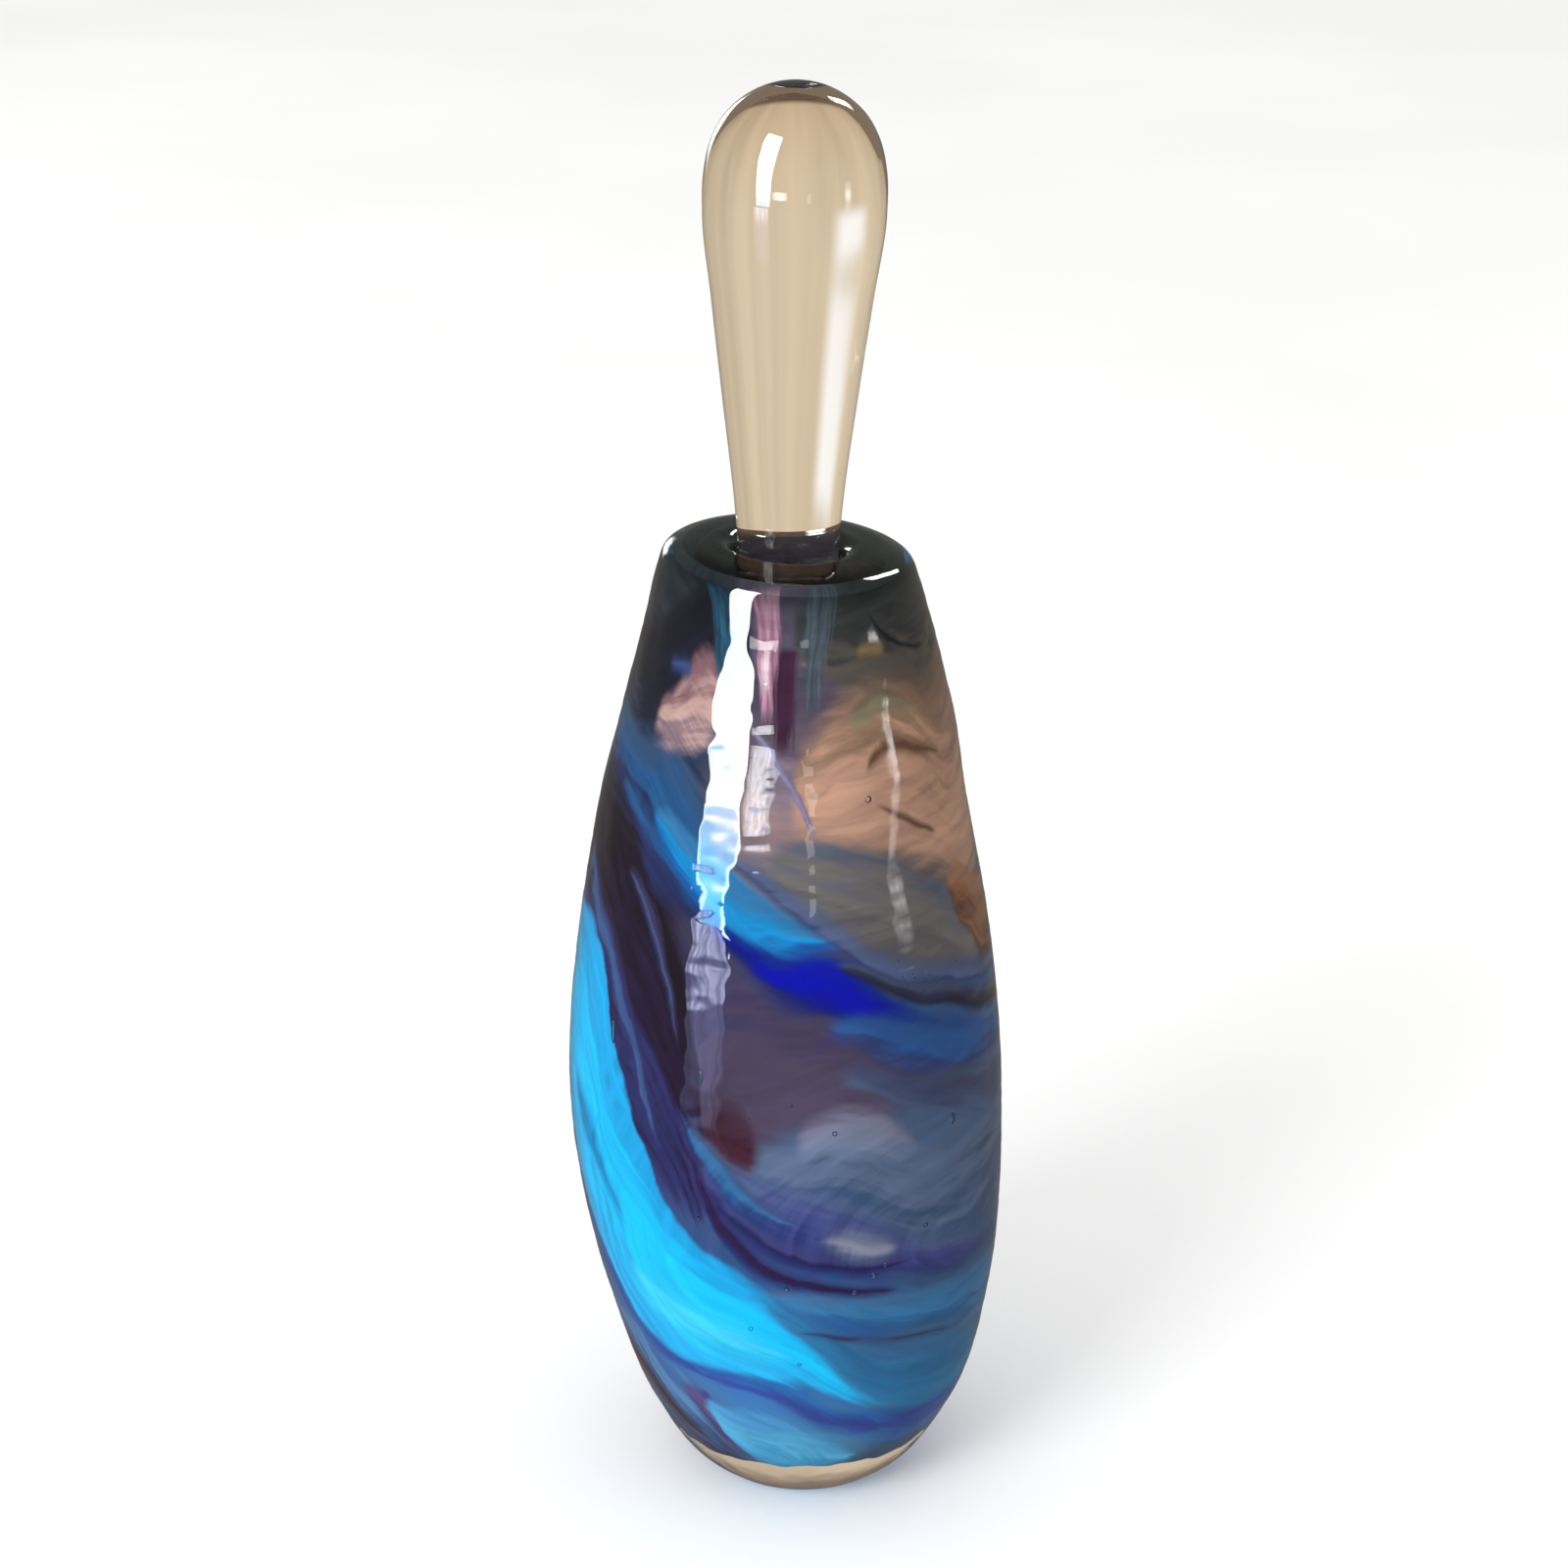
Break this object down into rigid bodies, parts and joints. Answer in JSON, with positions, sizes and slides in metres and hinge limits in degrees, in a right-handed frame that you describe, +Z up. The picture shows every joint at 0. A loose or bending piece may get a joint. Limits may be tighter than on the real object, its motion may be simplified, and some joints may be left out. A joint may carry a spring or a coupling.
{
  "type": "scent bottle with glass stopper",
  "caption": "Tall rounded blown-glass scent bottle with coloured swirls under a thick clear casing, closed by a solid teardrop glass stopper with a long dauber.",
  "frame": {"origin": "centre of the ground flat under the bottle's base", "axes": "+Z up through the bottle and its stopper, -Y towards the viewer of the pictured side"},
  "size_m": [0.0544, 0.0542, 0.178],
  "materials": {
    "clear_glass": "fire-polished",
    "smoked_glass": "fire-polished",
    "stopper_glass": "fire-polished",
    "ground_glass": "ground",
    "turquoise_glass": "fire-polished",
    "aubergine_glass": "fire-polished",
    "cobalt_glass": "fire-polished",
    "sky_glass": "fire-polished",
    "smoke_glass": "fire-polished",
    "violet_glass": "fire-polished",
    "copper_glass": "fire-polished",
    "indigo_glass": "fire-polished"
  },
  "bodies": {
    "bottle": {"clear_casing": "clear_glass", "inner_bubble": "smoked_glass", "turquoise_streak": "turquoise_glass", "aubergine_streak": "aubergine_glass", "cobalt_streak": "cobalt_glass", "sky_streak": "sky_glass", "smoke_streak": "smoke_glass", "violet_streak": "violet_glass", "copper_streak": "copper_glass", "indigo_streak": "indigo_glass"},
    "stopper": {"stopper_head": "stopper_glass", "ground_plug": "ground_glass", "dauber": "stopper_glass"}
  },
  "joints": [
    {"name": "stopper_lift", "type": "slide", "parent": "bottle", "child": "stopper", "axis": [0, 0, 1], "range_m": [0, 0.08]}
  ]
}
